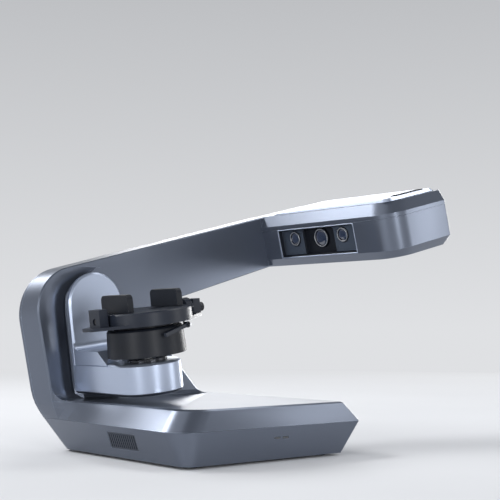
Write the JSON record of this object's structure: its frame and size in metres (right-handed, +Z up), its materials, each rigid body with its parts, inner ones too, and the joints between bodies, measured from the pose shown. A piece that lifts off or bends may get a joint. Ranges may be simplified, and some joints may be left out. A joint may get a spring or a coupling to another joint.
{
  "type": "desktop 3d scanner",
  "caption": "Desktop 3D scanner for small models: low base, C-shaped frame, tilted camera head and a swinging turntable arm with a two-jaw clamp",
  "frame": {"origin": "middle of the whole outline in plan, on the surface that the four feet stand on", "axes": "+Z up; +X to the right of a person who faces the two status lights, from the column toward the camera head; +Y toward the rear cover and its connectors"},
  "size_m": [0.4186, 0.251, 0.293],
  "materials": {
    "shell_paint": "satin metallic paint on moulded plastic",
    "band_paint": "darker satin metallic paint",
    "silver_paint": "satin silver paint",
    "black_plastic": "matte",
    "tray_plastic": "matte",
    "rubber": "matte",
    "steel": "turned",
    "aluminium": "milled",
    "brass": "cut",
    "circuit_board": "solder mask",
    "status_light": "milky light pipe",
    "lens_glass": "coated glass"
  },
  "bodies": {
    "frame": {"base_lower_shell": "band_paint", "vent_grille": "band_paint", "status_light_left": "status_light", "status_light_right": "status_light", "frame_shell": "shell_paint", "rear_cover": "shell_paint", "cover_screw_1": "steel", "cover_screw_2": "steel", "cover_screw_3": "steel", "cover_screw_4": "steel", "connector_board": "circuit_board", "usb_socket": "steel", "power_jack": "black_plastic", "power_switch": "black_plastic", "foot_front_left": "rubber", "foot_front_right": "rubber", "foot_back_left": "rubber", "foot_back_right": "rubber", "ballast_plate": "steel", "main_board": "circuit_board", "power_board": "circuit_board", "fan_frame": "black_plastic", "swing_bearing_housing": "aluminium", "swing_bearing_front": "steel", "swing_bearing_rear": "steel", "swing_motor": "black_plastic", "head_lower_shell": "shell_paint", "head_upper_shell": "shell_paint", "head_top_cover": "shell_paint", "window_surround": "black_plastic", "optical_bench": "aluminium", "head_beam": "aluminium", "camera_body_front": "black_plastic", "camera_lens_front": "lens_glass", "camera_body_back": "black_plastic", "camera_lens_back": "lens_glass", "projector_body": "black_plastic", "projector_lens": "lens_glass", "head_board": "circuit_board"},
    "power_button": {"power_button": "silver_paint"},
    "fan": {"fan_rotor": "black_plastic"},
    "pinion": {"swing_pinion": "steel"},
    "swing_arm": {"swing_arm": "silver_paint", "swing_arm_cover": "silver_paint", "swing_shaft": "steel", "swing_gear": "brass", "turntable_motor": "black_plastic", "turntable_bearing": "steel"},
    "turntable": {"turntable_drum": "black_plastic", "turntable_spindle": "steel", "clamp_tray": "tray_plastic", "lever_pin": "steel"},
    "clamp_screw": {"clamp_screw": "steel", "thumb_wheel": "black_plastic"},
    "left_jaw": {"jaw_left": "tray_plastic"},
    "right_jaw": {"jaw_right": "tray_plastic"},
    "release_lever": {"release_lever": "silver_paint"}
  },
  "joints": [
    {"name": "power_press", "type": "slide", "parent": "frame", "child": "power_button", "axis": [0, -1, 0], "range_m": [0, 0.0012], "stiffness_N_per_m": 400},
    {"name": "fan_spin", "type": "hinge", "parent": "frame", "child": "fan", "pos_m": [-0.15614, -0.0247, 0.0238], "axis": [1, 0, 0], "continuous": true},
    {"name": "arm_swing", "type": "hinge", "parent": "frame", "child": "swing_arm", "pos_m": [-0.13724, 0.0897, 0.1584], "axis": [0, 1, 0], "range_deg": [-30, 75]},
    {"name": "pinion_spin", "type": "hinge", "parent": "frame", "child": "pinion", "pos_m": [-0.12456, 0.1115, 0.13121], "axis": [0, 1, 0], "range_deg": [-230, 95]},
    {"name": "table_spin", "type": "hinge", "parent": "swing_arm", "child": "turntable", "pos_m": [-0.13195, -0.0048, 0.11875], "axis": [-0.1323, 0, 0.9912], "continuous": true},
    {"name": "clamp_turn", "type": "hinge", "parent": "turntable", "child": "clamp_screw", "pos_m": [-0.1354, -0.0048, 0.14462], "axis": [0.9912, 0, 0.1323], "range_deg": [-1320, 1680]},
    {"name": "left_jaw_slide", "type": "slide", "parent": "turntable", "child": "left_jaw", "axis": [0.9912, 0, 0.1323], "range_m": [-0.0111, 0.0141]},
    {"name": "right_jaw_slide", "type": "slide", "parent": "turntable", "child": "right_jaw", "axis": [-0.9912, 0, -0.1323], "range_m": [-0.0111, 0.0141]},
    {"name": "lever_tilt", "type": "hinge", "parent": "turntable", "child": "release_lever", "pos_m": [-0.10829, -0.0442, 0.13502], "axis": [-0.1925, 0.981, -0.0257], "range_deg": [-12, 4], "stiffness_Nm_per_rad": 0.02}
  ],
  "couplings": [
    {"joint": "pinion_spin", "follows": "arm_swing", "ratio": -3},
    {"joint": "left_jaw_slide", "follows": "clamp_turn", "m_per_rad": 0.00047746},
    {"joint": "right_jaw_slide", "follows": "clamp_turn", "m_per_rad": 0.00047746}
  ]
}
